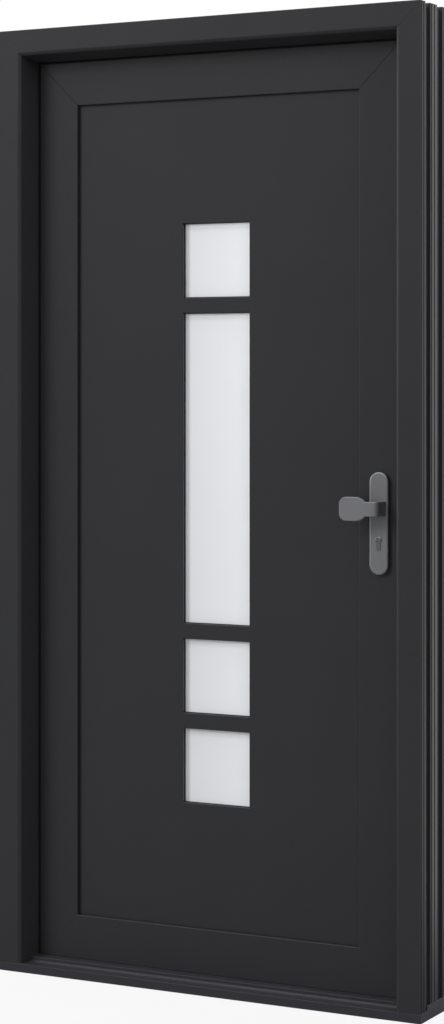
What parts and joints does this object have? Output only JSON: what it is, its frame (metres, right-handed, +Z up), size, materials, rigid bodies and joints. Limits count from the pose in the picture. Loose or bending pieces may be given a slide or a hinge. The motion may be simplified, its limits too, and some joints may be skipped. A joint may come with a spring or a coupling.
{
  "type": "pvc front door",
  "caption": "Anthracite PVC front door set with a deep mitred frame, low threshold, inward-opening leaf, frosted square and tall panes, pull handle outside and lever inside.",
  "frame": {"origin": "middle of the underside of the threshold, halfway across the width and halfway through the depth of the outer frame", "axes": "+X to the right as seen from outside, +Y inwards through the wall, +Z up"},
  "size_m": [1.07, 0.208, 2.19],
  "materials": {
    "pvc_profile": "foiled satin anthracite",
    "panel_skin": "foiled satin anthracite",
    "threshold_aluminium": "powder coated",
    "seal_rubber": "matte",
    "frosted_glass": "sandblasted",
    "clear_glass": "clear",
    "spacer_bar": "satin",
    "handle_metal": "satin",
    "cylinder_metal": "satin",
    "lock_steel": "zinc plated",
    "hinge_metal": "powder coated"
  },
  "bodies": {
    "frame": {"frame_head": "pvc_profile", "frame_jamb_left": "pvc_profile", "frame_jamb_right": "pvc_profile", "threshold": "threshold_aluminium", "frame_gasket": "seal_rubber", "hinge_frame_low": "hinge_metal", "hinge_frame_middle": "hinge_metal", "hinge_frame_top": "hinge_metal", "hinge_pins": "hinge_metal", "strike_plate": "lock_steel", "hook_keeps": "lock_steel"},
    "leaf": {"leaf_top_rail": "pvc_profile", "leaf_bottom_rail": "pvc_profile", "leaf_hinge_stile": "pvc_profile", "leaf_lock_stile": "pvc_profile", "infill_panel": "panel_skin", "pane_bottom": "frosted_glass", "pane_middle": "frosted_glass", "pane_tall": "frosted_glass", "pane_top": "frosted_glass", "glass_spacers": "spacer_bar", "inner_panes": "clear_glass", "window_trim_bottom": "pvc_profile", "window_trim_middle": "pvc_profile", "window_trim_tall": "pvc_profile", "window_trim_top": "pvc_profile", "bead_top": "pvc_profile", "bead_bottom": "pvc_profile", "bead_left": "pvc_profile", "bead_right": "pvc_profile", "panel_gasket_outside": "seal_rubber", "panel_gasket_inside": "seal_rubber", "leaf_gasket": "seal_rubber", "bottom_sweep": "seal_rubber", "outside_backplate": "handle_metal", "outside_pull": "handle_metal", "inside_backplate": "handle_metal", "inside_lever": "handle_metal", "lock_cylinder": "cylinder_metal", "lock_strip": "lock_steel", "latch_bolt": "lock_steel", "dead_bolt": "lock_steel", "hinge_leaf_low": "hinge_metal", "hinge_leaf_middle": "hinge_metal", "hinge_leaf_top": "hinge_metal"}
  },
  "joints": [
    {"name": "door_swing", "type": "hinge", "parent": "frame", "child": "leaf", "pos_m": [-0.495, 0.096, 1.1075], "axis": [0, 0, 1], "range_deg": [0, 100]}
  ]
}
